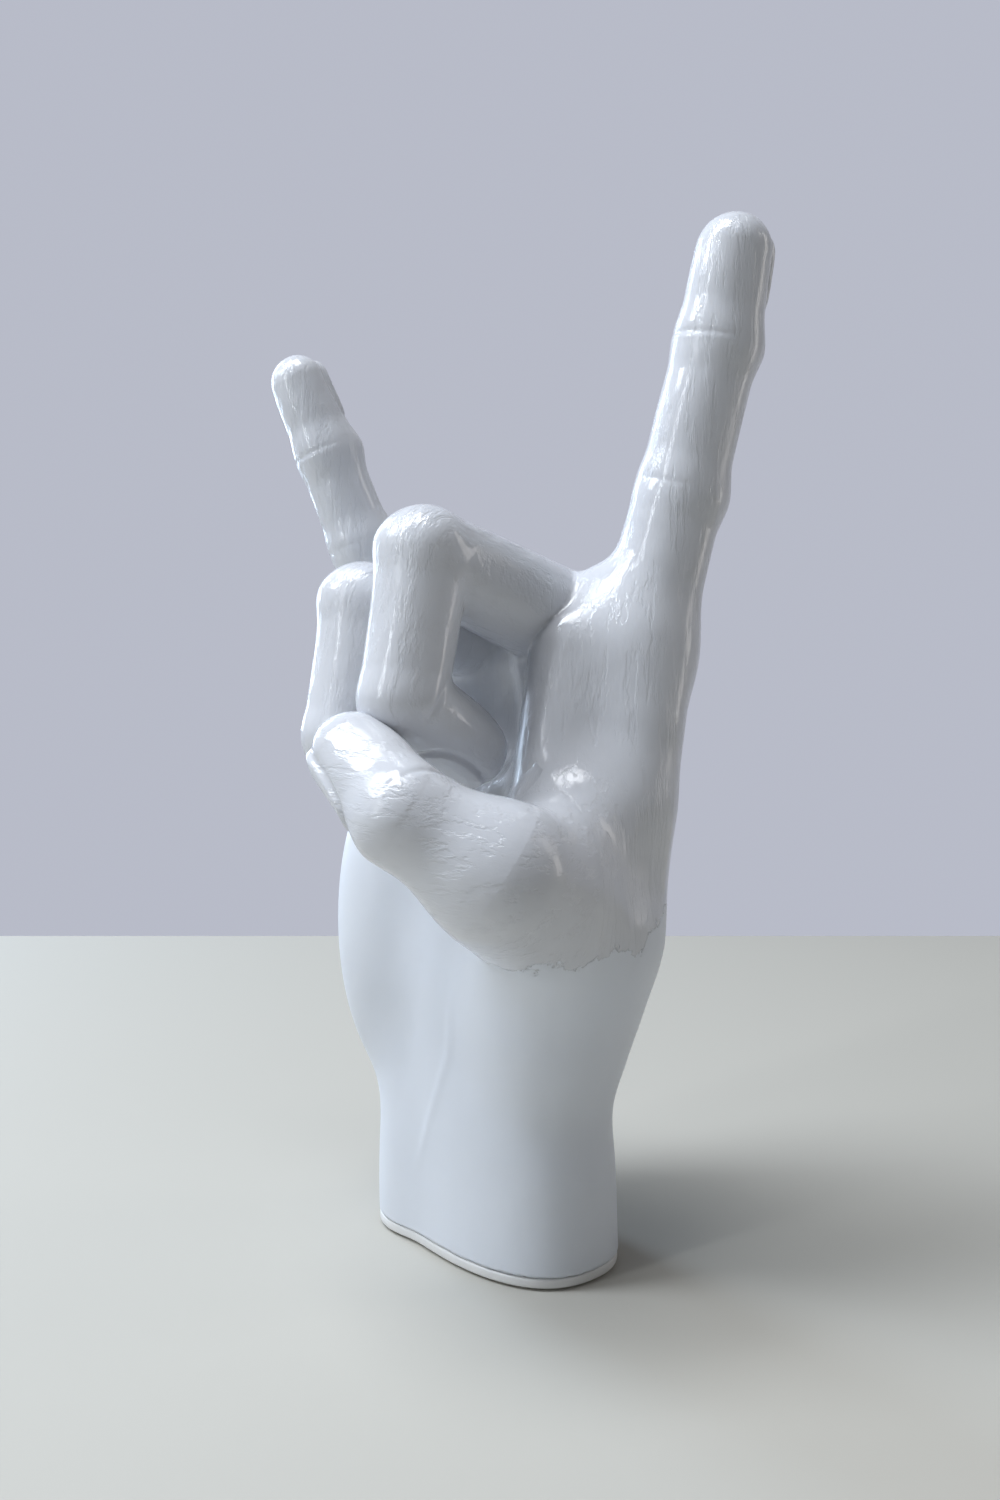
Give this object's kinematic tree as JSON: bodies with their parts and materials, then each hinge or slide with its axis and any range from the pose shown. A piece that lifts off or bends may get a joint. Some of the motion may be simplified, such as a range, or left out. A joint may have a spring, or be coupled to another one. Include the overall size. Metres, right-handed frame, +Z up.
{
  "type": "hand sculpture",
  "caption": "White glazed ceramic right hand standing on its cut wrist, index and little finger raised, middle and ring finger curled behind the thumb.",
  "frame": {"origin": "middle of the wrist's foot, on the underside of the foot pad", "axes": "+Z up along the standing hand, -Y out of the palm, +X towards the thumb side"},
  "size_m": [0.1033, 0.0905, 0.2169],
  "materials": {
    "white_glaze": "white glaze, very glossy on the fingers and upper palm, satin below",
    "satin_plate": "satin off-white plate",
    "felt": "thin dark felt"
  },
  "bodies": {
    "root": {"hand_body": "white_glaze", "index_finger": "white_glaze", "middle_finger": "white_glaze", "ring_finger": "white_glaze", "little_finger": "white_glaze", "thumb": "white_glaze", "foot_plate": "satin_plate", "foot_pad": "felt"}
  },
  "joints": []
}
